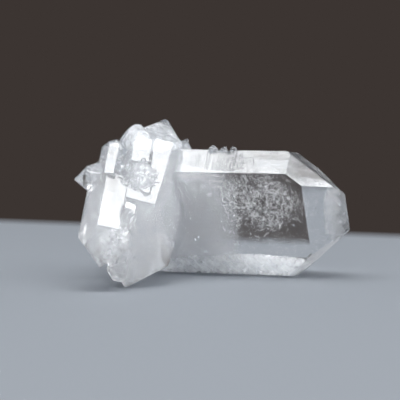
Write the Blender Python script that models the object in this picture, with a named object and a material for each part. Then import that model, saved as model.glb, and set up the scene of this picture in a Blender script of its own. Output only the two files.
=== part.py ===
"""Faden quartz: one large clear crystal lying on its lower back edge, grown through a cluster of
smaller crystals that stand nearly parallel to each other. All of it is one grown solid.

Every crystal is made as quartz makes itself: six prism faces, sixty degrees apart round the long
axis, and six rhombohedral faces on an end, each at 51.8 degrees from that axis. Only the distance
of each face from the crystal's seat differs, and that is what gives a crystal its own outline.

Metres, +Z up, the front is -Y, and the origin is under the middle of the specimen, on the floor.
"""
import math
import random

import bmesh
import bpy
from mathutils import Matrix, Vector

MM = 0.001
NODE = "quartz_cluster"

# The angle between a rhombohedral face's normal and the long axis, the same in every quartz crystal
RHOMB_POLAR = math.radians(51.8)
PRISM_STEP = math.radians(60.0)

# The block that a crystal is cut from reaches this far from the seat, in millimetres
ROUGH_REACH = 80.0

# The specimen sits on two small worn flats, cut this far above its lowest edge, in millimetres
WORN_FLAT = 0.25

# Faces closer to level than this are merged into one, and points closer than this are one point.
# A face that passes within the touch distance of a corner goes through it.
LEVEL_ANGLE = math.radians(0.05)
MERGE_DISTANCE = 0.002
TOUCH_DISTANCE = 0.00001

# The large crystal: its axis lies level and points right, and a little to the front
MAIN_SEAT = (8.7, 9.2, 11.9)
MAIN_AIM = (-21.0, 0.0, 111.7)
MAIN_SIDES = (3.5, 14.8, 16.4, 7.8, 12.2, 11.0)
MAIN_TIP = (13.5, 20.4, 21.2, 17.4, 18.0, 15.6)
MAIN_TAIL = (21.0, 23.0, 21.0, 21.5, 21.0, 22.0)

# The cluster's common growth direction: heading, climb above level and turn, in degrees
CLUSTER_AIM = (-105.0, -49.5, -18.0)

# Crystals of the cluster: seat in millimetres, aim in degrees, distances of the prism faces, of the
# lower end's faces and of the upper end's faces in millimetres. The first face looks to the front.
BIG_LEANING = dict(
    seat=(-12.2, 3.6, 15.4), aim=(-112.1, -47.6, -24.5),
    sides=(8.4, 5.8, 8.1, 8.5, 8.0, 8.5),
    tip=(7.9, 11.1, 12.5, 14.5, 12.0, 12.3),
    tail=(15.7, 15.1, 17.0, 16.9, 18.5, 17.5))
FRONT_LEFT = dict(
    seat=(-21.4, -3.7, 15.2), aim=(-103.0, -47.9, -20.6),
    sides=(4.7, 5.5, 7.3, 6.0, 4.5, 3.3),
    tip=(6.5, 9.9, 8.5, 9.5, 6.6, 8.0),
    tail=(9.5, 9.2, 12.0, 13.0, 12.5, 11.5))
TOP_LEFT = dict(
    seat=(-14.0, 9.8, 31.2), aim=(-101.5, -50.0, -14.0),
    sides=(4.7, 5.4, 5.0, 4.5, 4.6, 2.6),
    tip=(8.8, 9.5, 9.2, 10.0, 9.2, 9.6),
    tail=(3.5, 3.2, 4.1, 1.5, 4.0, 3.4))
OUTER_LEFT = dict(
    seat=(-19.6, 4.3, 28.6), aim=(-104.5, -48.9, -16.1),
    sides=(2.8, 2.8, 3.0, 3.0, 2.1, 1.8),
    tip=(6.2, 6.6, 6.4, 7.0, 6.3, 6.8),
    tail=(3.4, 3.6, 4.2, 1.9, 3.6, 2.7))
NARROW_FRONT = dict(
    seat=(-15.9, -5.0, 15.6), aim=FRONT_LEFT["aim"],
    sides=(1.5, 1.8, 1.7, 1.6, 1.5, 1.6),
    tip=(3.3, 3.9, 3.6, 3.5, 3.7, 3.4),
    tail=(3.2, 3.1, 3.6, 3.4, 3.3, 3.5))
NAMED = (BIG_LEANING, FRONT_LEFT, TOP_LEFT, OUTER_LEFT, NARROW_FRONT)

# Groups of small crystals: their places lie round a centre within the spread, in millimetres, their
# aims within the play of the group's aim, and their radius and length within the stated ranges
DRUSE = dict(
    centre=(-12.6, 0.2, 23.8), spread=(2.0, 1.0, 2.2), count=11, aim=CLUSTER_AIM, play=6.0,
    radius=(0.9, 1.6), ahead=(3.3, 3.9), behind=2.6)
HEALED_END = dict(
    centre=(-19.6, -8.0, 11.4), spread=(2.8, 0.9, 2.6), count=15, aim=FRONT_LEFT["aim"], play=5.0,
    radius=(0.7, 1.7), ahead=(2.8, 4.0), behind=5.0)

# Single small crystals: seat, aim, radius, length ahead of the seat and behind it
LOWER_POINT = ((-16.6, -0.4, 7.6), BIG_LEANING["aim"], 2.6, 7.6, 6.0)
LEFT_STUB = ((-22.2, 2.6, 23.8), (184.0, -4.0, 20.0), 3.2, 5.2, 6.0)
TOP_STUB = ((-4.2, 13.0, 27.4), (50.0, 52.0, 10.0), 2.7, 4.2, 7.0)
EDGE_POINTS = (
    ((3.1, 6.6, 28.3), (71.0, 74.0, 5.0), 1.3, 2.2, 3.0),
    ((5.4, 6.2, 28.0), (79.0, 66.0, -4.0), 0.9, 2.2, 3.0),
    ((7.4, 5.4, 28.0), (69.0, 71.0, 2.0), 0.7, 2.2, 3.0))
BACK_FAN = (
    ((-13.5, 11.5, 18.0), (120.0, 30.0, 5.0), 4.2, 9.5, 6.5),
    ((-5.0, 13.5, 19.0), (78.0, 42.0, 25.0), 3.8, 8.5, 6.5),
    ((-17.5, 8.0, 12.5), (152.0, 8.0, 15.0), 3.9, 8.5, 6.5),
    ((-9.5, 15.0, 9.5), (98.0, 6.0, 12.0), 4.4, 8.5, 6.5),
    ((-13.0, 9.5, 26.5), (105.0, 62.0, 20.0), 3.3, 7.5, 6.5),
    ((0.5, 17.0, 12.5), (62.0, 14.0, 5.0), 2.9, 6.0, 6.5))
SINGLES = (LOWER_POINT, LEFT_STUB, TOP_STUB) + EDGE_POINTS + BACK_FAN

# How far a small crystal's faces stray from even, as a share of its radius and of its length
SIDE_RANGE = (0.82, 1.18)
END_RANGE = (1.0, 1.25)
GROWTH_SEED = 17


def rotation(aim):
    """Turn +Z to the crystal's axis and +X to its first prism face."""
    heading, climb, turn = (math.radians(angle) for angle in aim)
    level = math.cos(climb)
    axis = Vector((level * math.cos(heading), level * math.sin(heading), math.sin(climb)))
    upward = Vector((0.0, 0.0, 1.0)) - axis.z * axis
    upward.normalize()
    first = Matrix.Rotation(turn, 3, axis) @ upward
    second = axis.cross(first)
    return Matrix((first, second, axis)).transposed()


def face_normals(polar):
    """Six normals at one angle from the axis, in the order in which the distances are given."""
    for step in range(6):
        around = -PRISM_STEP * step
        outward = Vector((math.cos(around), math.sin(around), 0.0)) * math.sin(polar)
        yield outward + Vector((0.0, 0.0, math.cos(polar)))


def crystal_mesh(seat, aim, sides, tip, tail):
    """Cut one closed crystal from a block, face by face."""
    shell = bmesh.new()
    bmesh.ops.create_cube(shell, size=2.0 * ROUGH_REACH)
    planes = list(zip(face_normals(math.pi / 2.0), sides))
    planes += list(zip(face_normals(RHOMB_POLAR), tip))
    planes += list(zip(face_normals(math.pi - RHOMB_POLAR), tail))
    for normal, distance in planes:
        cut = bmesh.ops.bisect_plane(
            shell, geom=shell.verts[:] + shell.edges[:] + shell.faces[:], dist=TOUCH_DISTANCE,
            plane_co=normal * distance, plane_no=normal, clear_outer=True)
        rim = [item for item in cut["geom_cut"] if isinstance(item, bmesh.types.BMEdge)]
        if rim:
            bmesh.ops.contextual_create(shell, geom=rim)
    bmesh.ops.recalc_face_normals(shell, faces=shell.faces[:])
    place = Matrix.Translation(Vector(seat)) @ rotation(aim).to_4x4()
    bmesh.ops.transform(shell, matrix=place, verts=shell.verts[:])
    mesh = bpy.data.meshes.new("crystal")
    shell.to_mesh(mesh)
    shell.free()
    return mesh


def join(mesh, other, how):
    """Join or cut two closed meshes and return the result as a plain mesh."""
    body = bpy.data.objects.new("body", mesh)
    partner = bpy.data.objects.new("partner", other)
    partner.hide_render = True
    partner.display_type = "WIRE"
    for item in (body, partner):
        bpy.context.scene.collection.objects.link(item)
    step = body.modifiers.new(how.lower(), "BOOLEAN")
    step.operation = how
    step.solver = "EXACT"
    step.object = partner
    bpy.context.view_layer.update()
    result = bpy.data.meshes.new_from_object(body.evaluated_get(bpy.context.evaluated_depsgraph_get()))
    for item in (body, partner):
        data = item.data
        bpy.data.objects.remove(item)
        bpy.data.meshes.remove(data)
    return result


def small_crystal(rng, seat, aim, radius, ahead, behind):
    """A small crystal: its prism is about one radius wide each way, and its ends are pointed."""
    sides = [radius * rng.uniform(*SIDE_RANGE) for _ in range(6)]
    tip = [ahead * math.cos(RHOMB_POLAR) * rng.uniform(*END_RANGE) for _ in range(6)]
    tail = [behind * math.cos(RHOMB_POLAR) * rng.uniform(*END_RANGE) for _ in range(6)]
    return crystal_mesh(seat, aim, sides, tip, tail)


def group_of_crystals(rng, centre, spread, count, aim, play, radius, ahead, behind):
    """Small crystals that grew side by side, each a little askew."""
    for _ in range(count):
        seat = [middle + rng.uniform(-reach, reach) for middle, reach in zip(centre, spread)]
        askew = [angle + rng.uniform(-play, play) for angle in aim]
        yield small_crystal(rng, seat, askew, rng.uniform(*radius), rng.uniform(*ahead), behind)


def small_crystals():
    """The lesser crystals that fill the cluster, group by group."""
    rng = random.Random(GROWTH_SEED)
    yield from group_of_crystals(rng, **DRUSE)
    yield from group_of_crystals(rng, **HEALED_END)
    for single in SINGLES:
        yield small_crystal(rng, *single)


def outer_skin(mesh):
    """Keep the largest closed shell, because growth filled the pockets between the crystals."""
    skin = bmesh.new()
    skin.from_mesh(mesh)
    bmesh.ops.remove_doubles(skin, verts=skin.verts[:], dist=MERGE_DISTANCE)
    waiting = set(skin.faces)
    shells = []
    while waiting:
        shell = {waiting.pop()}
        edge_of_shell = list(shell)
        while edge_of_shell:
            face = edge_of_shell.pop()
            for edge in face.edges:
                for near in edge.link_faces:
                    if near in waiting:
                        waiting.remove(near)
                        shell.add(near)
                        edge_of_shell.append(near)
        shells.append(shell)
    shells.sort(key=lambda shell: sum(face.calc_area() for face in shell), reverse=True)
    for shell in shells[1:]:
        bmesh.ops.delete(skin, geom=list(shell), context="FACES")
    bmesh.ops.dissolve_limit(
        skin, angle_limit=LEVEL_ANGLE, verts=skin.verts[:], edges=skin.edges[:],
        use_dissolve_boundaries=False)
    skin.to_mesh(mesh)
    skin.free()
    return mesh


def worn_flat_cutter(mesh):
    """A slab that takes off what lies below the resting plane."""
    lowest = min(vertex.co.z for vertex in mesh.vertices)
    slab = bmesh.new()
    bmesh.ops.create_cube(slab, size=2.0 * ROUGH_REACH)
    bmesh.ops.translate(slab, vec=(0.0, 0.0, lowest + WORN_FLAT - ROUGH_REACH), verts=slab.verts[:])
    cutter = bpy.data.meshes.new("slab")
    slab.to_mesh(cutter)
    slab.free()
    return cutter


def stand_on_origin(mesh):
    """Bring the middle of the specimen's underside to the origin, and millimetres to metres."""
    lows = [min(vertex.co[axis] for vertex in mesh.vertices) for axis in range(3)]
    highs = [max(vertex.co[axis] for vertex in mesh.vertices) for axis in range(3)]
    middle = Vector(((lows[0] + highs[0]) / 2.0, (lows[1] + highs[1]) / 2.0, lows[2]))
    mesh.transform(Matrix.Scale(MM, 4) @ Matrix.Translation(-middle))


def quartz_material():
    """Colourless rock crystal with a natural, slightly uneven lustre."""
    material = bpy.data.materials.new("rock_crystal")
    material.use_nodes = True
    shader = material.node_tree.nodes["Principled BSDF"]
    shader.inputs["Base Color"].default_value = (0.93, 0.94, 0.95, 1.0)
    shader.inputs["Roughness"].default_value = 0.08
    shader.inputs["Metallic"].default_value = 0.0
    shader.inputs["IOR"].default_value = 1.544
    shader.inputs["Transmission Weight"].default_value = 1.0
    return material


def build():
    """Grow the specimen and leave it as the scene's one object."""
    for item in list(bpy.data.objects):
        bpy.data.objects.remove(item)
    mesh = crystal_mesh(MAIN_SEAT, MAIN_AIM, MAIN_SIDES, MAIN_TIP, MAIN_TAIL)
    for crystal in NAMED:
        mesh = join(mesh, crystal_mesh(**crystal), "UNION")
    for crystal in small_crystals():
        mesh = join(mesh, crystal, "UNION")
    mesh = outer_skin(mesh)
    mesh = join(mesh, worn_flat_cutter(mesh), "DIFFERENCE")
    mesh = outer_skin(mesh)
    stand_on_origin(mesh)
    mesh.name = NODE
    mesh.materials.clear()
    mesh.materials.append(quartz_material())
    node = bpy.data.objects.new(NODE, mesh)
    bpy.context.scene.collection.objects.link(node)


build()
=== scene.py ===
"""The looks of a faden quartz specimen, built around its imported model.

A long clear crystal has grown through a cluster of smaller leaning ones. The clear quartz is one
closed skin with true flat growth faces, striations across them, worn edges and rough broken ends.
Inside it hang what the growth sealed in: veils of healed cracks, white wisps, specks, milky clouds.
"""
import math

import bmesh
import bpy
import numpy as np
from bpy.props import FloatProperty, FloatVectorProperty, PointerProperty
from mathutils import Matrix, Vector, noise
from mathutils.bvhtree import BVHTree


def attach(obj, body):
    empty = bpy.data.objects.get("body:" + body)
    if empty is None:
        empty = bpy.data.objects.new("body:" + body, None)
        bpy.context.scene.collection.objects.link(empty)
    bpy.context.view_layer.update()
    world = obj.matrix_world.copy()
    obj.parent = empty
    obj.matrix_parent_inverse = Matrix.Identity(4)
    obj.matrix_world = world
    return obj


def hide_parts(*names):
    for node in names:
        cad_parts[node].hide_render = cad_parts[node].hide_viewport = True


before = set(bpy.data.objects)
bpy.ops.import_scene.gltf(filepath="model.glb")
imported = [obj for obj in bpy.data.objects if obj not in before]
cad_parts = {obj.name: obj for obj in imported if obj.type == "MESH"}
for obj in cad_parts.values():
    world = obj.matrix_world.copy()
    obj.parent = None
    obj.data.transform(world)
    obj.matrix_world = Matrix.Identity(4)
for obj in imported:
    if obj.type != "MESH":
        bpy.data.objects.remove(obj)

bl_info = {
    "name": "Faden Quartz Specimen",
    "version": (1, 0, 0),
    "blender": (4, 5, 0),
    "location": "View3D > Sidebar > Quartz",
    "description": "Builds a clear faden quartz crystal with its veils, wisps and clouds",
    "category": "Add Mesh",
}

MM = 0.001
NODE = "quartz_cluster"
BODY = "root"

# Growth axes as headings and climbs in degrees: the long crystal's, and the leaning cluster's
MAIN_AXIS = (-21.0, 0.0)
CLUSTER_AXIS = (-105.0, -49.0)

# A direction that no growth face is parallel to
UPWARDS = Vector((0.0712, 0.0431, 0.9965)).normalized()

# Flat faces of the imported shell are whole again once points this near, in millimetres, are one
# and faces within this angle, in degrees, are joined
WELD_DISTANCE = 0.001
FLAT_ANGLE = 0.2

# Inclusions stay this far under the quartz's faces, and haze fades out over the last stretch
# below them, both in millimetres
SKIN_CLEARANCE = 0.15
SKIN_FADE = 0.5

# Regions are ellipsoids: centre, radii in millimetres along, behind and up, heading in degrees,
# and how strong their effect is. Milky clouds: the share of light that one sheet catches
CLOUDS = (
    ((-15.0, 0.0, 16.0), (24.0, 26.0, 26.0), 0.0, 0.07),
    ((-7.0, 7.0, 13.0), (16.0, 14.0, 21.0), MAIN_AXIS[0], 0.12),
    ((12.0, -3.0, 15.0), (24.0, 14.0, 16.0), MAIN_AXIS[0], 0.006),
    ((-14.0, 2.0, 33.5), (14.0, 12.0, 6.0), 0.0, 0.7),
    ((-15.5, -7.5, 25.0), (5.5, 4.5, 4.5), 0.0, 0.3),
    ((-20.8, -17.0, 10.0), (5.2, 5.5, 5.0), 0.0, 0.2))

# Denser haze in the long crystal's point and along its foot, in sheets set closer together
DENSE_CLOUDS = (
    ((28.5, -4.0, 16.0), (4.5, 7.5, 11.0), MAIN_AXIS[0], 0.17),
    ((8.0, 3.5, 1.0), (25.0, 10.0, 5.3), MAIN_AXIS[0], 0.34))
DENSE_SPACING = 0.45
DENSE_EDGE = 0.15

# Clearer pockets, and the share of the haze that they take away in the middle
CLEARINGS = (
    ((-1.0, 6.0, 5.5), (5.0, 7.0, 2.5), 0.0, 0.4),
    ((-14.5, -9.0, 10.0), (4.0, 6.0, 8.0), 0.0, 0.5),
    ((-28.0, -6.5, 24.3), (4.0, 4.0, 4.0), 0.0, 1.0),
    ((19.5, -6.0, 23.0), (6.0, 9.0, 5.5), 0.0, 1.0),
    ((19.0, -4.5, 12.5), (5.0, 9.0, 3.5), 0.0, 0.9))

# Sheets face forwards and up, so that light falls on the side that shows
FRONT_AND_UP = Vector((0.0, -0.9135, 0.4067))

# Sheets of a cloud: millimetres between them and between their points, the share of the radius
# over which they fade, and how many swells a millimetre ripple them and how high, in millimetres
CLOUD_SPACING = 0.8
CLOUD_GRAIN = 1.0
CLOUD_EDGE = 0.3
CLOUD_RIPPLE = (0.25, 0.9)

# Haze fainter than this isn't built, and each sheet's ripple is read this far from the last one's
LEAST_HAZE = 0.0005
RIPPLE_SHIFT = 5.0

# Haze gathers in blotches, in millimetres: this range of the noise gives these shares of it
BLOTCH_SIZE = 2.5
BLOTCH_NOISE = (0.3, 0.7)
BLOTCH_SHARE = (0.4, 1.6)
NOISE_MIDDLE = 0.5

# Share of the light that a film lets through, of the light that it catches
FILM_THROUGH = 0.3

# The veil of healed cracks in the long crystal, a stack of rippled sheets
VEIL = ((11.0, -3.0, 18.0), (12.5, 7.0, 9.5), MAIN_AXIS[0], 0.8)
VEIL_SPACING = 1.4
VEIL_RIPPLE = (0.2, 1.5)
VEIL_GRAIN = 0.5
VEIL_EDGE = 0.6

# The veil's net of curved threads: their spacing in millimetres, half their width in the noise,
# and the haze between them. It shows in patches of this size, over this range of the noise
NET_SIZE = 2.0
NET_HALF_WIDTH = 0.03
NET_BETWEEN = 0.06
NET_PATCH_SIZE = 4.0
NET_PATCH_NOISE = (0.42, 0.6)

# Shapes of the white strands: how far their arc turns, in radians, and their share of the radius
STRAND_SHAPES = ((0.5, 3.2), (0.9, 1.8), (1.7, 1.0), (2.8, 0.5))

# Strands gather in clumps of this size in millimetres: this range of the noise gives these
# shares of them. They tilt out of the veil by up to this, in radians, and vary in size
CLUMP_SIZE = 3.5
CLUMP_NOISE = (0.42, 0.62)
CLUMP_SHARE = (0.1, 1.6)
STRAND_TILT = 0.5
STRAND_SIZES = (0.35, 1.2)
STRAND_THINNEST = 0.25
STRAND_MIDDLE = 0.5
STRAND_BENDS = 7
STRAND_SIDES = 3
STRAND_SEED = 5
STRAND_ROUGHNESS = 0.5

# Crack flakes: how far they tilt out of their sheet, in radians, and their least and greatest
# length and width as shares of the flake size
FLAKE_TILT = 0.9
FLAKE_LEAST = (0.3, 0.15, 1.0)
FLAKE_MOST = (1.4, 0.7, 1.0)
FLAKE_CORNERS = 7
FLAKE_SEED = 9
FLAKE_COLOUR = "#F9FAFC"
FLAKE_ROUGHNESS = 0.25
FULL_TURN = 2.0 * math.pi

# Rock crystal's colour and refractive index, and its roughness from polished to fully frosted
QUARTZ_COLOUR = "#FEFEFE"
QUARTZ_IOR = 1.544
QUARTZ_ROUGHNESS = (0.012, 0.4)
FULL_FROST = 0.6

# Relief of the growth faces, in millimetres: slow swells, etching where they are frosted, and
# striations across the long faces, which are deeper where they are frosted and come in patches
SWELL_SIZE = 5.0
SWELL_DEPTH = 0.02
ETCHING_SIZE = 0.7
ETCHING_DEPTH = 0.12
STRIATION_SIZE = 0.45
STRIATION_DEPTH = 0.006
FROSTED_STRIATION_DEPTH = 0.5
STRIATION_PATCH_SIZE = 3.0

# Where the skin isn't plain growth faces: a region, and how rounded, frosted and chipped it is
SKIN_ZONES = (
    (((-18.0, 0.0, 33.5), (7.5, 7.0, 4.0), 0.0), (0.5, 0.5, 0.0)),
    (((-9.5, 7.5, 33.6), (5.5, 6.5, 3.6), 0.0), (1.0, 0.5, 0.0)),
    (((-28.0, -6.5, 25.0), (3.5, 4.0, 5.0), 0.0), (0.3, 0.3, 0.0)),
    (((-5.3, 4.5, 29.6), (4.2, 4.2, 3.6), 0.0), (0.0, 0.5, 0.3)),
    (((2.8, -1.6, 29.6), (5.0, 2.2, 1.6), MAIN_AXIS[0]), (0.0, 0.6, 0.5)),
    (((-15.5, -8.5, 25.0), (5.5, 4.0, 4.5), 0.0), (0.0, 0.3, 0.5)),
    (((-20.8, -17.5, 9.6), (5.2, 5.0, 4.6), 0.0), (0.0, 0.3, 1.0)),
    (((-18.6, -14.5, 15.5), (1.7, 3.0, 5.0), 0.0), (0.0, 0.3, 0.9)),
    (((-12.6, -11.8, 7.6), (2.2, 2.0, 3.0), 0.0), (0.0, 0.3, 0.6)),
    (((2.5, -3.5, 26.8), (11.0, 5.0, 3.0), MAIN_AXIS[0]), (0.0, 0.3, 0.0)))
ZONE_EDGE = 0.45

# Rounding: how often each point moves towards its neighbours, how far each time, and the
# rounding from which a face is shaded smooth
SOFTEN_ROUNDS = 30
SOFTEN_STEP = 0.5
SMOOTH_FROM = 0.3

# Small lumps on the long crystal's top edge, worn to domes: where they stand, in millimetres, how
# far round that point they reach, and about how high they stay
TOP_EDGE_HEIGHT = 29.2
LUMP_REACH = 1.7
WORN_LUMPS = (((0.7, -0.3), 1.0), ((3.1, -0.5), 0.75), ((4.9, -1.2), 0.75))

# A long face's normal is within this of square to its crystal's axis
PRISM_SLACK = 0.03

# Chips are scoops about this far apart, in millimetres, and this wide as a share of that. A
# finer noise roughens them by this share of their depth
CHIP_SIZE = 1.3
CHIP_REACH = 0.75
CHIP_ROUGHENING = 0.25
CHIP_DETAIL = 2.7

# The camera looks at this point, from this far, and is turned a little about its own line of sight
TARGET = (-2.64, -7.24, 18.67)
CAMERA_DISTANCE = 550.0
CAMERA_ELEVATION = 6.56
CAMERA_ROLL = -1.1
CAMERA_LENS = 225.0
CAMERA_CLIP = 10.0

# The table's far edge from left to right, its soft fade and its depth, in millimetres
TABLE_EDGE = ((-57.2, 122.5, 0.0), (37.8, 79.1, 0.0))
TABLE_EDGE_STRETCH = 6.0
TABLE_FADE = 14.0
TABLE_DEPTH = 1400.0
TABLE_ROUGHNESS = 0.8
TABLE_SPECULAR = 0.2

# Soft lights: place and size in metres, and how bright they look
OVERHEAD_BOX = ((-0.05, -0.165, 0.62), (0.70, 0.23), 8.6)
SIDE_CARD = ((0.46, -0.27, 0.53), (0.26, 0.26), 4.6)

# The room brightens towards the front and darkens towards the back between these directions,
# given as how far north they point
BRIGHT_FRONT = (-0.3, -0.8)
DARK_BACK = (0.45, 0.75)

# Light goes through many sheets of haze inside the glass before it comes out again, and it
# reaches them only if reflections and refractions aren't blurred
LIGHT_BOUNCES = {
    "transparent_max_bounces": 64, "max_bounces": 32, "diffuse_bounces": 16,
    "transmission_bounces": 24}
GLOSSY_BLUR = 0.0

# Rounds of halving that bring the longest edge of the specimen under the grain
REFINE_ROUNDS = 7


def linear(hex_colour):
    """An sRGB hex colour as linear red, green and blue."""
    values = [int(hex_colour[place:place + 2], 16) / 255.0 for place in (1, 3, 5)]
    return tuple(v / 12.92 if v <= 0.04045 else ((v + 0.055) / 1.055) ** 2.4 for v in values)


def region_share(points, centre, radii, heading, edge):
    """1 inside an ellipsoid, falling softly to 0 over the outer part of its radius.

    Points are in millimetres.
    """
    turn = math.radians(heading)
    east, north, up = (points[..., axis] - centre[axis] for axis in range(3))
    along = east * math.cos(turn) + north * math.sin(turn)
    behind = north * math.cos(turn) - east * math.sin(turn)
    far = np.sqrt((along / radii[0]) ** 2 + (behind / radii[1]) ** 2 + (up / radii[2]) ** 2)
    share = np.clip((1.0 - far) / edge, 0.0, 1.0)
    return share * share * (3.0 - 2.0 * share)


def add_node(tree, kind, links=None, **settings):
    """Add one node. Settings name its properties or input sockets, links give output sockets."""
    node = tree.nodes.new(kind)
    for name, value in settings.items():
        if hasattr(node, name):
            setattr(node, name, value)
        else:
            node.inputs[name.replace("_", " ")].default_value = value
    for name, source in (links or {}).items():
        tree.links.new(source, node.inputs[name])
    return node


def new_material(name):
    """A material with only its shader and its output left to fill in."""
    material = bpy.data.materials.new(name)
    material.use_nodes = True
    return material, material.node_tree, material.node_tree.nodes["Principled BSDF"]


def direction(heading, climb):
    """The unit vector of a heading and a climb in degrees."""
    across, up = math.radians(heading), math.radians(climb)
    return Vector((math.cos(up) * math.cos(across), math.cos(up) * math.sin(across), math.sin(up)))


def add_object(name, mesh):
    """Put a finished mesh in the scene, at the origin."""
    piece = bpy.data.objects.new(name, mesh)
    bpy.context.scene.collection.objects.link(piece)
    return piece


def add_piece(name, mesh, material):
    """Put a finished mesh in the scene as a piece of the specimen."""
    mesh.materials.clear()
    mesh.materials.append(material)
    piece = add_object(name, mesh)
    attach(piece, BODY)
    return piece


def rock_crystal_material():
    """Rock crystal: colourless quartz with natural growth faces, clear, glassy, a little uneven."""
    material, tree, shader = new_material("rock_crystal_natural_faces")
    shader.inputs["Base Color"].default_value = (*linear(QUARTZ_COLOUR), 1.0)
    shader.inputs["Transmission Weight"].default_value = 1.0
    shader.inputs["IOR"].default_value = QUARTZ_IOR
    place = add_node(tree, "ShaderNodeTexCoord")
    frosted = add_node(tree, "ShaderNodeAttribute", attribute_name="frosted")
    etching = add_node(
        tree, "ShaderNodeTexNoise", {"Vector": place.outputs["Object"]},
        Scale=1.0 / (ETCHING_SIZE * MM), Detail=3.0)
    frost = add_node(tree, "ShaderNodeMath", operation="MULTIPLY")
    tree.links.new(etching.outputs["Fac"], frost.inputs[0])
    tree.links.new(frosted.outputs["Fac"], frost.inputs[1])
    roughness = add_node(
        tree, "ShaderNodeMapRange", {"Value": frost.outputs["Value"]},
        From_Min=0.0, From_Max=FULL_FROST, To_Min=QUARTZ_ROUGHNESS[0], To_Max=QUARTZ_ROUGHNESS[1])
    tree.links.new(roughness.outputs["Result"], shader.inputs["Roughness"])
    swell = add_node(
        tree, "ShaderNodeTexNoise", {"Vector": place.outputs["Object"]},
        Scale=1.0 / (SWELL_SIZE * MM), Detail=1.0)
    relief = add_node(
        tree, "ShaderNodeMapRange", {"Value": swell.outputs["Fac"]}, To_Min=0.0,
        To_Max=SWELL_DEPTH)
    etched = add_node(
        tree, "ShaderNodeMath", {"Value": frost.outputs["Value"]}, operation="MULTIPLY_ADD")
    etched.inputs[1].default_value = ETCHING_DEPTH
    tree.links.new(relief.outputs["Result"], etched.inputs[2])
    height = etched.outputs["Value"]
    patches = add_node(
        tree, "ShaderNodeTexNoise", {"Vector": place.outputs["Object"]},
        Scale=1.0 / (STRIATION_PATCH_SIZE * MM), Detail=2.0)
    for name, axis in (("long_crystal_side", MAIN_AXIS), ("cluster_side", CLUSTER_AXIS)):
        along = add_node(
            tree, "ShaderNodeVectorMath", {0: place.outputs["Object"]}, operation="DOT_PRODUCT")
        along.inputs[1].default_value = direction(*axis)
        lines = add_node(
            tree, "ShaderNodeTexNoise", {"W": along.outputs["Value"]}, noise_dimensions="1D",
            Scale=1.0 / (STRIATION_SIZE * MM), Detail=2.0)
        depth = add_node(
            tree, "ShaderNodeMath", {0: frosted.outputs["Fac"]}, operation="MULTIPLY_ADD")
        depth.inputs[1].default_value = FROSTED_STRIATION_DEPTH
        depth.inputs[2].default_value = STRIATION_DEPTH
        side = add_node(tree, "ShaderNodeAttribute", attribute_name=name)
        there = add_node(
            tree, "ShaderNodeMath", {0: depth.outputs["Value"], 1: side.outputs["Fac"]},
            operation="MULTIPLY")
        uneven = add_node(
            tree, "ShaderNodeMath", {0: there.outputs["Value"], 1: patches.outputs["Fac"]},
            operation="MULTIPLY")
        added = add_node(
            tree, "ShaderNodeMath",
            {0: lines.outputs["Fac"], 1: uneven.outputs["Value"], 2: height},
            operation="MULTIPLY_ADD")
        height = added.outputs["Value"]
    bump = add_node(
        tree, "ShaderNodeBump", {"Height": height}, Strength=1.0, Distance=MM)
    tree.links.new(bump.outputs["Normal"], shader.inputs["Normal"])
    return material


def scattering_film(name, colour):
    """A film of tiny fluid bubbles, which sends most of its light back and lets some through.

    Gives the material, its tree and the input that takes the share of light that it catches.
    """
    material, tree, shader = new_material(name)
    shader.inputs["Base Color"].default_value = (*colour, 1.0)
    shader.inputs["Roughness"].default_value = 1.0
    shader.inputs["Specular IOR Level"].default_value = 0.0
    through = add_node(tree, "ShaderNodeBsdfTranslucent", Color=(*colour, 1.0))
    film = add_node(
        tree, "ShaderNodeMixShader", {1: shader.outputs["BSDF"], 2: through.outputs["BSDF"]},
        Fac=FILM_THROUGH)
    gap = add_node(tree, "ShaderNodeBsdfTransparent")
    surface = add_node(
        tree, "ShaderNodeMixShader", {1: gap.outputs["BSDF"], 2: film.outputs["Shader"]})
    tree.links.new(surface.outputs["Shader"], tree.nodes["Material Output"].inputs["Surface"])
    return material, tree, surface.inputs["Fac"]


def milky_material(colour):
    """Milky quartz: countless bubbles too small to see, which scatter light as a white haze."""
    material, tree, caught = scattering_film("milky_fluid_haze", colour)
    place = add_node(tree, "ShaderNodeTexCoord")
    blotches = add_node(
        tree, "ShaderNodeTexNoise", {"Vector": place.outputs["Object"]},
        Scale=1.0 / (BLOTCH_SIZE * MM), Detail=5.0, Roughness=0.6)
    share = add_node(
        tree, "ShaderNodeMapRange", {"Value": blotches.outputs["Fac"]},
        From_Min=BLOTCH_NOISE[0], From_Max=BLOTCH_NOISE[1], To_Min=BLOTCH_SHARE[0],
        To_Max=BLOTCH_SHARE[1])
    haze = add_node(tree, "ShaderNodeAttribute", attribute_name="haze")
    strength = add_node(
        tree, "ShaderNodeMath", {0: share.outputs["Result"], 1: haze.outputs["Fac"]},
        operation="MULTIPLY")
    tree.links.new(strength.outputs["Value"], caught)
    return material


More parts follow.
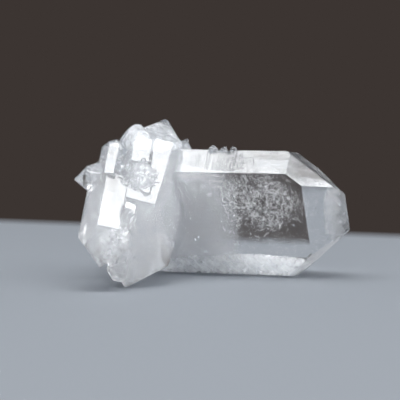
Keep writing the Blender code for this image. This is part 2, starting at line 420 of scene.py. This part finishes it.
def veil_material(colour):
    """A healed crack: a film of tiny fluid bubbles drawn out in a fine curved net."""
    material, tree, caught = scattering_film("healed_crack_film", colour)
    place = add_node(tree, "ShaderNodeTexCoord")
    curl = add_node(
        tree, "ShaderNodeTexNoise", {"Vector": place.outputs["Object"]},
        Scale=1.0 / (NET_SIZE * MM), Detail=2.0, Distortion=1.2)
    ridge = add_node(tree, "ShaderNodeMath", {0: curl.outputs["Fac"]}, operation="SUBTRACT")
    ridge.inputs[1].default_value = NOISE_MIDDLE
    size = add_node(tree, "ShaderNodeMath", {0: ridge.outputs["Value"]}, operation="ABSOLUTE")
    strand = add_node(
        tree, "ShaderNodeMapRange", {"Value": size.outputs["Value"]},
        From_Min=0.0, From_Max=NET_HALF_WIDTH, To_Min=1.0, To_Max=NET_BETWEEN)
    patches = add_node(
        tree, "ShaderNodeTexNoise", {"Vector": place.outputs["Object"]},
        Scale=1.0 / (NET_PATCH_SIZE * MM), Detail=3.0)
    patch = add_node(
        tree, "ShaderNodeMapRange", {"Value": patches.outputs["Fac"]},
        From_Min=NET_PATCH_NOISE[0], From_Max=NET_PATCH_NOISE[1])
    haze = add_node(tree, "ShaderNodeAttribute", attribute_name="haze")
    share = add_node(
        tree, "ShaderNodeMath", {0: strand.outputs["Result"], 1: patch.outputs["Result"]},
        operation="MULTIPLY")
    strength = add_node(
        tree, "ShaderNodeMath", {0: share.outputs["Value"], 1: haze.outputs["Fac"]},
        operation="MULTIPLY")
    tree.links.new(strength.outputs["Value"], caught)
    return material


def wisp_material(colour):
    """The thickest strands and bubbles of a healed crack: opaque white, with a soft glint."""
    material, tree, shader = new_material("white_fluid_strands")
    shader.inputs["Base Color"].default_value = (*colour, 1.0)
    shader.inputs["Roughness"].default_value = STRAND_ROUGHNESS
    return material


class QuartzSettings(bpy.types.PropertyGroup):
    """Sizes and colours that a user would change."""
    grain: FloatProperty(
        name="Relief Grain", description="Longest triangle edge of the clear skin",
        default=0.55 * MM, min=0.2 * MM, unit="LENGTH")
    chip_depth: FloatProperty(
        name="Chip Depth", description="How deep the scoops of the broken ends are",
        default=0.6 * MM, min=0.0, unit="LENGTH")
    haze_colour: FloatVectorProperty(
        name="Haze Colour", description="Colour of the milky clouds and healed cracks",
        default=linear("#FDFEFF"), size=3, min=0.0, max=1.0, subtype="COLOR")
    strand_colour: FloatVectorProperty(
        name="Strand Colour", description="Colour of the white strands and specks",
        default=linear("#FAFBFC"), size=3, min=0.0, max=1.0, subtype="COLOR")
    strand_density: FloatProperty(
        name="Strand Density", description="White strands on a square metre of healed crack",
        default=1.3e6, min=0.0)
    strand_radius: FloatProperty(
        name="Strand Radius", description="Radius of a strand's curve",
        default=0.7 * MM, min=0.0, unit="LENGTH")
    strand_thickness: FloatProperty(
        name="Strand Thickness", description="Radius of a strand's own cross-section",
        default=0.03 * MM, min=0.0, unit="LENGTH")
    flake_density: FloatProperty(
        name="Flake Density", description="Crack flakes on a square metre of the cloud's sheets",
        default=7.0e5, min=0.0)
    flake_size: FloatProperty(
        name="Flake Size", description="Largest radius of a crack flake",
        default=0.35 * MM, min=0.0, unit="LENGTH")
    table_colour: FloatVectorProperty(
        name="Table Colour", description="Colour of the pale table top",
        default=linear("#84898F"), size=3, min=0.0, max=1.0, subtype="COLOR")
    room_colour: FloatVectorProperty(
        name="Room Colour", description="Brightness of the room round the table",
        default=linear("#C4C7CD"), size=3, min=0.0, max=1.0, subtype="COLOR")
    front_colour: FloatVectorProperty(
        name="Front Colour", description="Brightness of the windows behind the camera",
        default=linear("#F4F6FA"), size=3, min=0.0, max=1.0, subtype="COLOR")
    backdrop_colour: FloatVectorProperty(
        name="Backdrop Colour", description="Colour of the dark studio behind the table",
        default=linear("#3C3532"), size=3, min=0.0, max=1.0, subtype="COLOR")


def merged_node_shell():
    """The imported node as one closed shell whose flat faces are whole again."""
    shell = bmesh.new()
    shell.from_mesh(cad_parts[NODE].data)
    bmesh.ops.remove_doubles(shell, verts=shell.verts[:], dist=WELD_DISTANCE * MM)
    bmesh.ops.dissolve_limit(
        shell, angle_limit=math.radians(FLAT_ANGLE), verts=shell.verts[:], edges=shell.edges[:],
        use_dissolve_boundaries=False)
    return shell


def refine(shell, longest):
    """Split the edges that are longer than the grain, halving them each round."""
    bmesh.ops.triangulate(shell, faces=shell.faces[:])
    for _ in range(REFINE_ROUNDS):
        split = [edge for edge in shell.edges if edge.calc_length() > longest]
        bmesh.ops.subdivide_edges(shell, edges=split, cuts=1)
        bmesh.ops.triangulate(shell, faces=[face for face in shell.faces if len(face.verts) > 3])


def skin_tree():
    """A search tree of the finished skin, to tell what lies inside the quartz."""
    skin = bmesh.new()
    skin.from_mesh(bpy.data.objects["clear_quartz"].data)
    tree = BVHTree.FromBMesh(skin)
    skin.free()
    return tree


def depth_inside(tree, point):
    """How far under the skin a point lies, in millimetres, or 0 where it is outside."""
    _, normal, _, _ = tree.ray_cast(point, UPWARDS)
    if normal is None or normal.dot(UPWARDS) <= 0.0:
        return 0.0
    return (point - tree.find_nearest(point)[0]).length / MM


class SheetMesh:
    """Gathers gently curved sheets into one mesh, clipped to stay inside the quartz."""

    def __init__(self, tree):
        self.tree = tree
        self.points = []
        self.haze = []
        self.faces = []

    def add(self, points, strengths):
        """Add a sheet from a grid of places in millimetres and how strong the haze is at each."""
        kept = {}
        for i, j in zip(*np.nonzero(strengths > LEAST_HAZE)):
            point = Vector(points[i, j]) * MM
            depth = depth_inside(self.tree, point)
            if depth > SKIN_CLEARANCE:
                kept[i, j] = len(self.points)
                self.points.append(point)
                self.haze.append(strengths[i, j] * min(1.0, depth / SKIN_FADE))
        for i, j in kept:
            corners = [(i, j), (i + 1, j), (i + 1, j + 1), (i, j + 1)]
            if all(corner in kept for corner in corners):
                self.faces.append([kept[corner] for corner in corners])

    def mesh(self, name):
        """The sheets as one mesh, with how strong the haze is at each point."""
        mesh = bpy.data.meshes.new(name)
        mesh.from_pydata(self.points, [], self.faces)
        haze = mesh.attributes.new("haze", "FLOAT", "POINT")
        haze.data.foreach_set("value", self.haze)
        clean = bmesh.new()
        clean.from_mesh(mesh)
        loose = [vertex for vertex in clean.verts if not vertex.link_faces]
        bmesh.ops.delete(clean, geom=loose, context="VERTS")
        clean.to_mesh(mesh)
        clean.free()
        return mesh


def add_stack(sheets, region, facing, spacing, grain, edge, ripple):
    """Fill an ellipsoid with rippled sheets that all face one way."""
    centre, radii, heading, strength = region
    normal = np.array(facing)
    across = np.array(facing.orthogonal().normalized())
    down = np.cross(normal, across)
    reach = max(radii)
    steps = np.linspace(-reach, reach, max(3, int(2.0 * reach / grain)))
    layers = int(2.0 * reach / spacing)
    for layer in range(layers):
        lift = reach * (2.0 * (layer + 0.5) / layers - 1.0)
        swell = np.array([
            [noise.noise(Vector((u, v, RIPPLE_SHIFT * layer)) * ripple[0]) for v in steps]
            for u in steps])
        raised = (lift + ripple[1] * swell)[..., None] * normal
        points = np.array(centre) + raised + steps[:, None, None] * across + steps[:, None] * down
        strengths = strength * region_share(points, centre, radii, heading, edge)
        for clear_centre, clear_radii, clear_heading, amount in CLEARINGS:
            strengths *= 1.0 - amount * region_share(
                points, clear_centre, clear_radii, clear_heading, 1.0)
        sheets.add(points, strengths)


class QUARTZ_OT_clouds(bpy.types.Operator):
    """Build the milky clouds as stacks of faint sheets that face the light"""
    bl_idname = "quartz.clouds"
    bl_label = "Milky Clouds"

    def execute(self, context):
        settings = context.scene.quartz
        sheets = SheetMesh(skin_tree())
        for region in CLOUDS:
            add_stack(
                sheets, region, FRONT_AND_UP, CLOUD_SPACING, CLOUD_GRAIN, CLOUD_EDGE, CLOUD_RIPPLE)
        for region in DENSE_CLOUDS:
            add_stack(
                sheets, region, FRONT_AND_UP, DENSE_SPACING, CLOUD_GRAIN, DENSE_EDGE, CLOUD_RIPPLE)
        mesh = sheets.mesh("milky_clouds")
        add_piece("milky_clouds", mesh, milky_material(settings.haze_colour))
        return {"FINISHED"}


class QUARTZ_OT_veils(bpy.types.Operator):
    """Build the healed cracks that cross the long crystal"""
    bl_idname = "quartz.veils"
    bl_label = "Healed Cracks"

    def execute(self, context):
        settings = context.scene.quartz
        sheets = SheetMesh(skin_tree())
        add_stack(sheets, VEIL, FRONT_AND_UP, VEIL_SPACING, VEIL_GRAIN, VEIL_EDGE, VEIL_RIPPLE)
        mesh = sheets.mesh("healed_crack_veils")
        add_piece("healed_crack_veils", mesh, veil_material(settings.haze_colour))
        return {"FINISHED"}


def new_growth_tree(name, sizes):
    """A node tree that takes geometry, these named sizes and a seed, and gives geometry.

    Gives the tree and the outputs of its input node.
    """
    tree = bpy.data.node_groups.new(name, "GeometryNodeTree")
    tree.interface.new_socket(name="Geometry", in_out="INPUT", socket_type="NodeSocketGeometry")
    for label, default in sizes:
        size = tree.interface.new_socket(name=label, in_out="INPUT", socket_type="NodeSocketFloat")
        size.default_value = default
    tree.interface.new_socket(name="Seed", in_out="INPUT", socket_type="NodeSocketInt")
    tree.interface.new_socket(name="Geometry", in_out="OUTPUT", socket_type="NodeSocketGeometry")
    return tree, add_node(tree, "NodeGroupInput").outputs


def finish_growth_tree(tree, instances, material):
    """Make the instances real, give them their material and pass them out."""
    real = add_node(tree, "GeometryNodeRealizeInstances", {"Geometry": instances})
    painted = add_node(
        tree, "GeometryNodeSetMaterial", {"Geometry": real.outputs["Geometry"]}, Material=material)
    add_node(tree, "NodeGroupOutput", {"Geometry": painted.outputs["Geometry"]})


def strand_tree(material):
    """Geometry nodes that strew curved strands over a veil, lying in it and turned at random."""
    tree, given = new_growth_tree(
        "strands_on_veil", (("Strands per Area", 1e6), ("Radius", MM), ("Thickness", 0.1 * MM)))
    haze = add_node(tree, "GeometryNodeInputNamedAttribute", data_type="FLOAT", Name="haze")
    clumps = add_node(tree, "ShaderNodeTexNoise", Scale=1.0 / (CLUMP_SIZE * MM), Detail=2.0)
    clump = add_node(
        tree, "ShaderNodeMapRange", {"Value": clumps.outputs["Fac"]},
        From_Min=CLUMP_NOISE[0], From_Max=CLUMP_NOISE[1], To_Min=CLUMP_SHARE[0],
        To_Max=CLUMP_SHARE[1])
    spread = add_node(
        tree, "ShaderNodeMath", {0: haze.outputs["Attribute"], 1: clump.outputs["Result"]},
        operation="MULTIPLY")
    amount = add_node(
        tree, "ShaderNodeMath", {0: spread.outputs["Value"], 1: given["Strands per Area"]},
        operation="MULTIPLY")
    points = add_node(
        tree, "GeometryNodeDistributePointsOnFaces",
        {"Mesh": given["Geometry"], "Density": amount.outputs["Value"], "Seed": given["Seed"]})
    shapes = add_node(tree, "GeometryNodeJoinGeometry")
    for sweep, share in STRAND_SHAPES:
        radius = add_node(tree, "ShaderNodeMath", operation="MULTIPLY")
        tree.links.new(given["Radius"], radius.inputs[0])
        radius.inputs[1].default_value = share
        arc = add_node(
            tree, "GeometryNodeCurveArc", {"Radius": radius.outputs["Value"]},
            Resolution=STRAND_BENDS, Sweep_Angle=sweep)
        along = add_node(tree, "GeometryNodeSplineParameter")
        taper = add_node(tree, "ShaderNodeMath", operation="PINGPONG")
        tree.links.new(along.outputs["Factor"], taper.inputs[0])
        taper.inputs[1].default_value = STRAND_MIDDLE
        width = add_node(
            tree, "ShaderNodeMapRange", {"Value": taper.outputs["Value"]},
            From_Min=0.0, From_Max=STRAND_MIDDLE, To_Min=STRAND_THINNEST, To_Max=1.0)
        thin = add_node(
            tree, "GeometryNodeSetCurveRadius",
            {"Curve": arc.outputs["Curve"], "Radius": width.outputs["Result"]})
        profile = add_node(
            tree, "GeometryNodeCurvePrimitiveCircle", {"Radius": given["Thickness"]},
            Resolution=STRAND_SIDES)
        tube = add_node(
            tree, "GeometryNodeCurveToMesh",
            {"Curve": thin.outputs["Curve"], "Profile Curve": profile.outputs["Curve"]},
            Fill_Caps=True)
        shape = add_node(tree, "GeometryNodeGeometryToInstance", {"Geometry": tube.outputs["Mesh"]})
        tree.links.new(shape.outputs["Instances"], shapes.inputs["Geometry"])
    spin = add_node(
        tree, "FunctionNodeRandomValue", {"Seed": given["Seed"]}, data_type="FLOAT_VECTOR")
    spin.inputs["Min"].default_value = (-STRAND_TILT, -STRAND_TILT, 0.0)
    spin.inputs["Max"].default_value = (STRAND_TILT, STRAND_TILT, FULL_TURN)
    turn = add_node(tree, "FunctionNodeRotateRotation", rotation_space="LOCAL")
    tree.links.new(points.outputs["Rotation"], turn.inputs["Rotation"])
    tree.links.new(spin.outputs["Value"], turn.inputs["Rotate By"])
    size = add_node(tree, "FunctionNodeRandomValue", {"Seed": given["Seed"]}, data_type="FLOAT")
    size.inputs[2].default_value = STRAND_SIZES[0]
    size.inputs[3].default_value = STRAND_SIZES[1]
    choice = add_node(tree, "FunctionNodeRandomValue", {"Seed": given["Seed"]}, data_type="INT")
    choice.inputs[4].default_value = 0
    choice.inputs[5].default_value = len(STRAND_SHAPES) - 1
    strewn = add_node(
        tree, "GeometryNodeInstanceOnPoints",
        {"Points": points.outputs["Points"], "Instance": shapes.outputs["Geometry"],
         "Rotation": turn.outputs["Rotation"], "Scale": size.outputs[1],
         "Instance Index": choice.outputs[2]}, Pick_Instance=True)
    finish_growth_tree(tree, strewn.outputs["Instances"], material)
    return tree


def grown_mesh(name, base, tree, **inputs):
    """Run a node tree once on a base mesh and keep the result as a plain mesh."""
    host = bpy.data.objects.new(name, base)
    bpy.context.scene.collection.objects.link(host)
    step = host.modifiers.new("growth", "NODES")
    step.node_group = tree
    sockets = {
        item.name: item.identifier for item in tree.interface.items_tree if item.in_out == "INPUT"}
    for label, value in inputs.items():
        step[sockets[label.replace("_", " ")]] = value
    bpy.context.view_layer.update()
    result = host.evaluated_get(bpy.context.evaluated_depsgraph_get())
    mesh = bpy.data.meshes.new_from_object(result)
    bpy.data.objects.remove(host)
    mesh.name = name
    return mesh


def flake_tree(material):
    """Geometry nodes that scatter tiny flat cracks through a milky cloud, turned at random."""
    tree, given = new_growth_tree("flakes_in_cloud", (("Flakes per Area", 1e5), ("Size", MM)))
    haze = add_node(tree, "GeometryNodeInputNamedAttribute", data_type="FLOAT", Name="haze")
    amount = add_node(
        tree, "ShaderNodeMath", {0: haze.outputs["Attribute"], 1: given["Flakes per Area"]},
        operation="MULTIPLY")
    points = add_node(
        tree, "GeometryNodeDistributePointsOnFaces",
        {"Mesh": given["Geometry"], "Density": amount.outputs["Value"], "Seed": given["Seed"]})
    disc = add_node(
        tree, "GeometryNodeMeshCircle", {"Radius": given["Size"]}, fill_type="NGON",
        Vertices=FLAKE_CORNERS)
    turn = add_node(
        tree, "FunctionNodeRandomValue", {"Seed": given["Seed"]}, data_type="FLOAT_VECTOR")
    turn.inputs["Min"].default_value = (-FLAKE_TILT, -FLAKE_TILT, 0.0)
    turn.inputs["Max"].default_value = (FLAKE_TILT, FLAKE_TILT, FULL_TURN)
    size = add_node(
        tree, "FunctionNodeRandomValue", {"Seed": given["Seed"]}, data_type="FLOAT_VECTOR")
    size.inputs["Min"].default_value = FLAKE_LEAST
    size.inputs["Max"].default_value = FLAKE_MOST
    facing = add_node(tree, "FunctionNodeRotateRotation", rotation_space="LOCAL")
    tree.links.new(points.outputs["Rotation"], facing.inputs["Rotation"])
    tree.links.new(turn.outputs["Value"], facing.inputs["Rotate By"])
    strewn = add_node(
        tree, "GeometryNodeInstanceOnPoints",
        {"Points": points.outputs["Points"], "Instance": disc.outputs["Mesh"],
         "Rotation": facing.outputs["Rotation"], "Scale": size.outputs["Value"]})
    finish_growth_tree(tree, strewn.outputs["Instances"], material)
    return tree


def flake_material():
    """Small open cracks: a film of air in the quartz, which mirrors its surroundings."""
    material, tree, shader = new_material("mirroring_crack_flakes")
    shader.inputs["Base Color"].default_value = (*linear(FLAKE_COLOUR), 1.0)
    shader.inputs["Metallic"].default_value = 1.0
    shader.inputs["Roughness"].default_value = FLAKE_ROUGHNESS
    return material


class QUARTZ_OT_flakes(bpy.types.Operator):
    """Scatter small mirroring cracks through the milky quartz"""
    bl_idname = "quartz.flakes"
    bl_label = "Crack Flakes"

    def execute(self, context):
        settings = context.scene.quartz
        material = flake_material()
        base = bpy.data.objects["milky_clouds"].data
        mesh = grown_mesh(
            "crack_flakes", base, flake_tree(material), Flakes_per_Area=settings.flake_density,
            Size=settings.flake_size, Seed=FLAKE_SEED)
        add_piece("crack_flakes", mesh, material)
        return {"FINISHED"}


class QUARTZ_OT_wisps(bpy.types.Operator):
    """Strew white strands over the healed cracks"""
    bl_idname = "quartz.wisps"
    bl_label = "White Strands"

    def execute(self, context):
        settings = context.scene.quartz
        material = wisp_material(settings.strand_colour)
        base = bpy.data.objects["healed_crack_veils"].data
        mesh = grown_mesh(
            "white_strands", base, strand_tree(material), Strands_per_Area=settings.strand_density,
            Radius=settings.strand_radius, Thickness=settings.strand_thickness, Seed=STRAND_SEED)
        add_piece("white_strands", mesh, material)
        return {"FINISHED"}


def soften(points, mesh, amount):
    """Wear edges down by moving each vertex towards its neighbours, where the amount says so."""
    ends = np.empty(2 * len(mesh.edges), dtype=np.int64)
    mesh.edges.foreach_get("vertices", ends)
    first, second = ends[::2], ends[1::2]
    near = np.concatenate((first, second))
    far = np.concatenate((second, first))
    degree = np.bincount(near, minlength=len(points))
    for _ in range(SOFTEN_ROUNDS):
        for axis in range(3):
            middle = np.bincount(near, weights=points[far, axis], minlength=len(points)) / degree
            points[:, axis] += SOFTEN_STEP * amount * (middle - points[:, axis])


def mark_prism_faces(mesh):
    """Tell each crystal's six long faces apart from its point's faces, for the striations."""
    normals = np.empty(3 * len(mesh.polygons))
    mesh.polygons.foreach_get("normal", normals)
    normals = normals.reshape(-1, 3)
    for name, axis in (("long_crystal_side", MAIN_AXIS), ("cluster_side", CLUSTER_AXIS)):
        side = np.abs(normals @ np.array(direction(*axis))) < PRISM_SLACK
        mark = mesh.attributes.new(name, "FLOAT", "FACE")
        mark.data.foreach_set("value", side.astype(np.float32))


def wear_lumps(points):
    """Lower each small lump's tip smoothly, so that it ends in a dome."""
    lift = points[:, 2] / MM - TOP_EDGE_HEIGHT
    for middle, height in WORN_LUMPS:
        aside = np.linalg.norm(points[:, :2] / MM - np.array(middle), axis=1)
        worn = (aside < LUMP_REACH) & (lift > 0.0)
        points[worn, 2] = MM * (TOP_EDGE_HEIGHT + height * np.tanh(lift[worn] / height))


def weather_skin(mesh, chip_depth):
    """Round, frost and chip the zones of the skin that aren't plain growth faces."""
    points = np.empty(3 * len(mesh.vertices))
    mesh.vertices.foreach_get("co", points)
    points = points.reshape(-1, 3)
    normals = np.empty(3 * len(mesh.vertices))
    mesh.vertices.foreach_get("normal", normals)
    normals = normals.reshape(-1, 3)
    mark_prism_faces(mesh)
    rounded, frosted, chipped = (np.zeros(len(points)) for _ in range(3))
    for (centre, radii, heading), amounts in SKIN_ZONES:
        share = region_share(points / MM, centre, radii, heading, ZONE_EDGE)
        for effect, amount in zip((rounded, frosted, chipped), amounts):
            np.maximum(effect, share * amount, out=effect)
    soften(points, mesh, rounded)
    wear_lumps(points)
    for index in np.flatnonzero(chipped > 0.0):
        place = Vector(points[index]) / (CHIP_SIZE * MM)
        to_middle = noise.voronoi(place)[0][0] / CHIP_REACH
        grit = CHIP_ROUGHENING * noise.noise(place * CHIP_DETAIL)
        scoop = max(0.0, 1.0 - to_middle * to_middle) + grit
        points[index] -= normals[index] * chip_depth * chipped[index] * max(0.0, scoop)
    mesh.vertices.foreach_set("co", points.ravel())
    frost = mesh.attributes.new("frosted", "FLOAT", "POINT")
    frost.data.foreach_set("value", frosted)
    corners = np.empty(3 * len(mesh.polygons), dtype=np.int64)
    mesh.polygons.foreach_get("vertices", corners)
    smooth = rounded[corners].reshape(-1, 3).min(axis=1) > SMOOTH_FROM
    mesh.polygons.foreach_set("use_smooth", smooth)


class QUARTZ_OT_crystal(bpy.types.Operator):
    """Build the clear skin of the whole specimen"""
    bl_idname = "quartz.crystal"
    bl_label = "Clear Crystal"

    def execute(self, context):
        settings = context.scene.quartz
        shell = merged_node_shell()
        refine(shell, settings.grain)
        mesh = bpy.data.meshes.new("clear_quartz")
        shell.to_mesh(mesh)
        shell.free()
        weather_skin(mesh, settings.chip_depth)
        piece = add_piece("clear_quartz", mesh, rock_crystal_material())
        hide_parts(NODE)
        return {"FINISHED"}


def add_camera():
    """The camera at the photograph's angle."""
    look = direction(90.0, -CAMERA_ELEVATION)
    side = Matrix.Rotation(math.radians(-CAMERA_ROLL), 3, look) @ Vector((1.0, 0.0, 0.0))
    camera = bpy.data.objects.new("camera", bpy.data.cameras.new("camera"))
    bpy.context.scene.collection.objects.link(camera)
    camera.data.lens = CAMERA_LENS
    camera.data.clip_start = CAMERA_CLIP * MM
    turn = Matrix((side, side.cross(look), -look)).transposed()
    place = Matrix.Translation((Vector(TARGET) - look * CAMERA_DISTANCE) * MM)
    camera.matrix_world = place @ turn.to_4x4()
    bpy.context.scene.camera = camera


def add_soft_light(name, place, size, radiance):
    """A rectangular soft box that faces the specimen and looks this bright."""
    lamp = bpy.data.lights.new(name, "AREA")
    lamp.shape = "RECTANGLE"
    lamp.size, lamp.size_y = size
    lamp.energy = radiance * math.pi * size[0] * size[1]
    light = bpy.data.objects.new(name, lamp)
    bpy.context.scene.collection.objects.link(light)
    light.location = place
    light.rotation_euler = (-Vector(place)).to_track_quat("-Z", "Y").to_euler()


def add_table(settings):
    """The pale table top. Its far edge fades out, as softly as a lens would show it."""
    mesh = bpy.data.meshes.new("table_top")
    left, right = Vector(TABLE_EDGE[0]), Vector(TABLE_EDGE[1])
    reach = (right - left) * TABLE_EDGE_STRETCH
    left, right = left - reach, right + reach
    fade = Vector((0.0, TABLE_FADE, 0.0))
    near = Vector((0.0, TABLE_DEPTH, 0.0))
    rows = [left, right, right - fade, left - fade, right - near, left - near]
    mesh.from_pydata([row * MM for row in rows], [], [(0, 3, 2, 1), (3, 5, 4, 2)])
    solidity = mesh.attributes.new("solidity", "FLOAT", "POINT")
    solidity.data.foreach_set("value", (0.0, 0.0, 1.0, 1.0, 1.0, 1.0))
    material, tree, shader = new_material("matt_pale_table")
    shader.inputs["Base Color"].default_value = (*settings.table_colour, 1.0)
    shader.inputs["Roughness"].default_value = TABLE_ROUGHNESS
    shader.inputs["Specular IOR Level"].default_value = TABLE_SPECULAR
    attribute = add_node(tree, "ShaderNodeAttribute", attribute_name="solidity")
    tree.links.new(attribute.outputs["Fac"], shader.inputs["Alpha"])
    mesh.materials.append(material)
    add_object("table_top", mesh)


def colour_input(mix, name):
    """A Mix node's colour input of this name, which its number and vector inputs share."""
    return next(item for item in mix.inputs if item.name == name and item.type == "RGBA")


def colour_output(mix):
    """A Mix node's colour output."""
    return next(item for item in mix.outputs if item.type == "RGBA")


def set_studio(context, settings):
    """A bright room all round, with the dark backdrop behind the table."""
    world = bpy.data.worlds.new("studio")
    world.use_nodes = True
    tree = world.node_tree
    towards = add_node(tree, "ShaderNodeTexCoord")
    axes = add_node(tree, "ShaderNodeSeparateXYZ", {"Vector": towards.outputs["Generated"]})
    dark = add_node(
        tree, "ShaderNodeMapRange", {"Value": axes.outputs["Y"]}, interpolation_type="SMOOTHSTEP",
        From_Min=DARK_BACK[0], From_Max=DARK_BACK[1])
    front = add_node(
        tree, "ShaderNodeMapRange", {"Value": axes.outputs["Y"]}, interpolation_type="SMOOTHSTEP",
        From_Min=BRIGHT_FRONT[0], From_Max=BRIGHT_FRONT[1])
    room = add_node(tree, "ShaderNodeMix", {0: front.outputs["Result"]}, data_type="RGBA")
    colour = add_node(tree, "ShaderNodeMix", {0: dark.outputs["Result"]}, data_type="RGBA")
    for mix, name, value in (
            (room, "A", settings.room_colour), (room, "B", settings.front_colour),
            (colour, "B", settings.backdrop_colour)):
        colour_input(mix, name).default_value = (*value, 1.0)
    tree.links.new(colour_output(room), colour_input(colour, "A"))
    tree.links.new(colour_output(colour), tree.nodes["Background"].inputs["Color"])
    context.scene.world = world


class QUARTZ_OT_stage(bpy.types.Operator):
    """Build the table, the studio light and the camera"""
    bl_idname = "quartz.stage"
    bl_label = "Stage"

    def execute(self, context):
        settings = context.scene.quartz
        add_table(settings)
        set_studio(context, settings)
        add_soft_light("overhead_box", *OVERHEAD_BOX)
        add_soft_light("side_card", *SIDE_CARD)
        add_camera()
        context.scene.view_settings.view_transform = "Standard"
        for kind, bounces in LIGHT_BOUNCES.items():
            setattr(context.scene.cycles, kind, bounces)
        context.scene.cycles.blur_glossy = GLOSSY_BLUR
        return {"FINISHED"}


class QUARTZ_PT_panel(bpy.types.Panel):
    """The specimen's settings and its build steps"""
    bl_label = "Faden Quartz"
    bl_idname = "QUARTZ_PT_panel"
    bl_space_type = "VIEW_3D"
    bl_region_type = "UI"
    bl_category = "Quartz"

    def draw(self, context):
        settings = context.scene.quartz
        for name in settings.__annotations__:
            self.layout.prop(settings, name)
        for step in STEPS:
            self.layout.operator(step.bl_idname)


STEPS = (
    QUARTZ_OT_crystal, QUARTZ_OT_clouds, QUARTZ_OT_flakes, QUARTZ_OT_veils, QUARTZ_OT_wisps,
    QUARTZ_OT_stage)
CLASSES = (QuartzSettings,) + STEPS + (QUARTZ_PT_panel,)


def register():
    for item in CLASSES:
        bpy.utils.register_class(item)
    bpy.types.Scene.quartz = PointerProperty(type=QuartzSettings)


def unregister():
    del bpy.types.Scene.quartz
    for item in reversed(CLASSES):
        bpy.utils.unregister_class(item)


def main():
    """Build everything in order."""
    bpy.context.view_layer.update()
    register()
    bpy.ops.quartz.crystal()
    bpy.ops.quartz.clouds()
    bpy.ops.quartz.flakes()
    bpy.ops.quartz.veils()
    bpy.ops.quartz.wisps()
    bpy.ops.quartz.stage()


if __name__ == "__main__":
    main()
